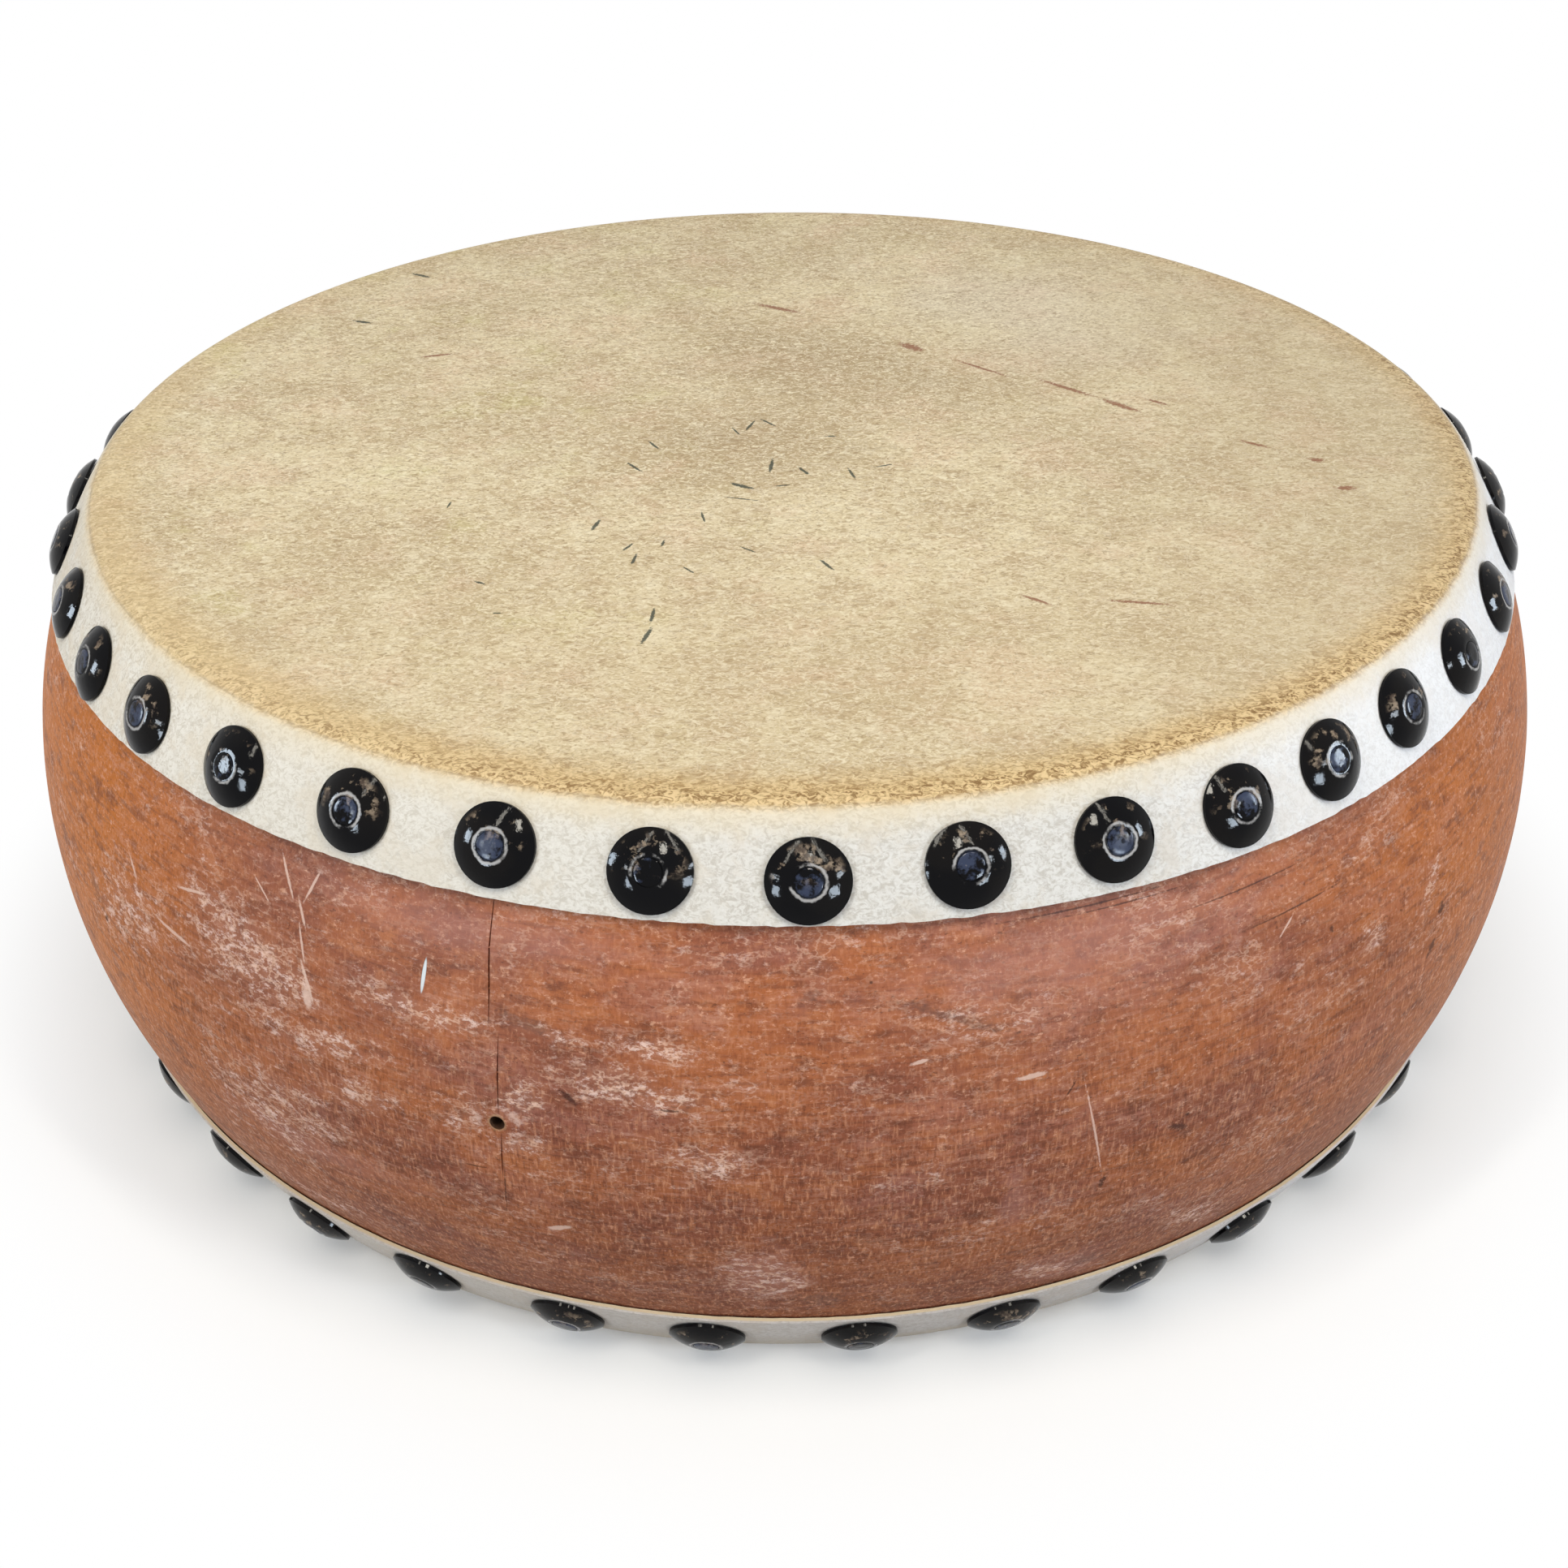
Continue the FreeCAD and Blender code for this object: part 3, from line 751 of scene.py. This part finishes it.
def row_of(shape, stands):
    """Copies of one shape along a row, each remembering its own place on its stud."""
    on_stud = shape.verts.layers.float_vector.new("on_stud")
    one = shape.verts[:] + shape.edges[:] + shape.faces[:]
    for number, (turn, tilt) in enumerate(stands):
        copied = bmesh.ops.duplicate(shape, geom=one)["geom"]
        verts = [part for part in copied if isinstance(part, bmesh.types.BMVert)]
        for vert in verts:
            vert[on_stud] = (vert.co.x, vert.co.y, stud_apart * number)
        bmesh.ops.transform(shape, matrix=stand_up(turn, tilt), verts=verts)
    bmesh.ops.delete(shape, geom=[part for part in one if isinstance(part, bmesh.types.BMVert)],
                     context="VERTS")
    return shape


black = gloss_black()
for end in ("upper", "lower"):
    stands = stud_stands(end + "_stud_caps")
    caps = settle(end + "_caps", row_of(stud_cap(), stands), black, 30)
    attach(caps, "root")
    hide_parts(end + "_stud_caps")
    nails = settle(end + "_nails", row_of(stud_nail(), stands), black, 30)
    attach(nails, "root")
    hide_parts(end + "_stud_nails")

# The stage. A white floor that is clear from below, two strip lamps overhead, a window at each
# side, five small lamps that only gloss shows, and the camera that the photograph was taken
# with, as fitted to the drum's outline and its studs.
floor_half = 12
shadow_start = 0.165  # metres from the drum's axis, where the floor begins to turn plain white
shadow_end = 0.27
base_radius = 0.177  # inside it, the lower head is seen and lit through the floor
soft_light = 0.29  # of the world, on the object
floor_mesh = bmesh.new()
bmesh.ops.create_grid(floor_mesh, x_segments=1, y_segments=1, size=floor_half)
floor_paint, floor_shader, floor_place = blank("pale_floor")
floor_shader.inputs["Roughness"].default_value = 0.9
floor_shader.inputs["Specular IOR Level"].default_value = 0.1


def looked_at(signal):
    """1 for a ray that shows what it meets: the camera's, or one through glass or off gloss."""
    path = signal.node("LightPath").socket.node
    rays = [Signal(signal.tree, path.outputs[name])
            for name in ("Is Camera Ray", "Is Glossy Ray", "Is Transmission Ray")]
    return rays[0].most(rays[1]).most(rays[2])


behind = floor_place.node("NewGeometry", out="Backfacing")
looked = looked_at(floor_place)
feed(floor_shader, Base_Color=looked.between(seen(184, 182, 180), seen(250, 250, 250)))
from_axis = floor_place.vector("LENGTH", out="Value")
far = from_axis.ease(shadow_start, shadow_end) * looked
glow = floor_place.node("Emission", {}, {"Color": (1, 1, 1, 1), "Strength": 1.0})
paint = Signal(floor_place.tree, floor_shader.outputs[0])
lit = floor_place.node("MixShader", {}, {0: far, 1: paint, 2: glow})
ray_length = floor_place.node("LightPath", out="Ray Length")
underneath = ray_length.ease(4 * mm, 3 * mm) * from_axis.ease(base_radius + mm, base_radius - mm)
one_sided = floor_place.node("MixShader", {}, {
    0: behind.most(underneath), 1: lit, 2: floor_place.node("BsdfTransparent")})
floor_out = floor_paint.node_tree.nodes["Material Output"]
floor_place.tree.links.new(one_sided.socket, floor_out.inputs["Surface"])
floor = settle("floor", floor_mesh, floor_paint)

world = bpy.data.worlds.new("studio")
world.use_nodes = True
surround = world.node_tree.nodes["Background"]
surround.inputs["Color"].default_value = (1, 1, 1, 1)
sky = Signal(world.node_tree, surround.outputs[0])
strength = soft_light + (1 - soft_light) * looked_at(sky)
world.node_tree.links.new(strength.socket, surround.inputs["Strength"])
bpy.context.scene.world = world

# Each lamp has its name, place, width, height, watts and colour, and whether only gloss shows it.
aim = Vector((0, 0, middle))
for name, spot, width, height, watts, tint, on_gloss_only in (
        ("strip_left", (-0.42, -0.5, 1.2), 0.08, 0.8, 5.2, (1.0, 0.95, 0.84), False),
        ("strip_right", (0.36, -0.5, 1.2), 0.08, 0.8, 5.2, (1.0, 0.95, 0.84), False),
        ("window_left", (-1.1, -1.0, 0.6), 0.3, 0.12, 5.8, (0.82, 0.91, 1.0), False),
        ("window_right", (1.1, -0.9, 0.6), 0.3, 0.12, 6.2, (0.82, 0.91, 1.0), False),
        ("glint_left", (-0.85, -1.0, 0.16), 0.2, 0.3, 10, (0.75, 0.87, 1.0), True),
        ("glint_right", (0.8, -1.1, 0.16), 0.3, 0.3, 16, (0.75, 0.87, 1.0), True),
        ("glint_far_left", (-1.25, -0.3, 0.42), 0.2, 0.3, 10, (0.75, 0.87, 1.0), True),
        ("glint_far_right", (1.25, -0.3, 0.42), 0.2, 0.3, 10, (0.75, 0.87, 1.0), True),
        ("glint_above", (0.1, -0.75, 1.1), 0.16, 0.3, 9, (1.0, 0.95, 0.84), True)):
    lamp = bpy.data.lights.new(name, "AREA")
    lamp.shape = "RECTANGLE"
    lamp.size = width
    lamp.size_y = height
    lamp.energy = watts
    lamp.color = tint
    stand = bpy.data.objects.new(name, lamp)
    stand.location = spot
    stand.visible_diffuse = not on_gloss_only
    stand.rotation_euler = (aim - Vector(spot)).to_track_quat("-Z", "Y").to_euler()
    bpy.context.scene.collection.objects.link(stand)

camera_spot = (0, -0.59354, 0.42901)
looks_down = 0.5738  # radians, as the other two turns are
looks_aside = 0.0008
leans = -0.0108
camera = bpy.data.objects.new("camera", bpy.data.cameras.new("camera"))
camera.data.lens = 52.065
camera.data.sensor_width = 36
camera.matrix_world = (Matrix.Translation(camera_spot) @ Matrix.Rotation(looks_aside, 4, "Z")
                       @ Matrix.Rotation(square - looks_down, 4, "X")
                       @ Matrix.Rotation(leans, 4, "Z"))
bpy.context.scene.collection.objects.link(camera)
bpy.context.scene.camera = camera
bpy.context.scene.view_settings.view_transform = "Standard"
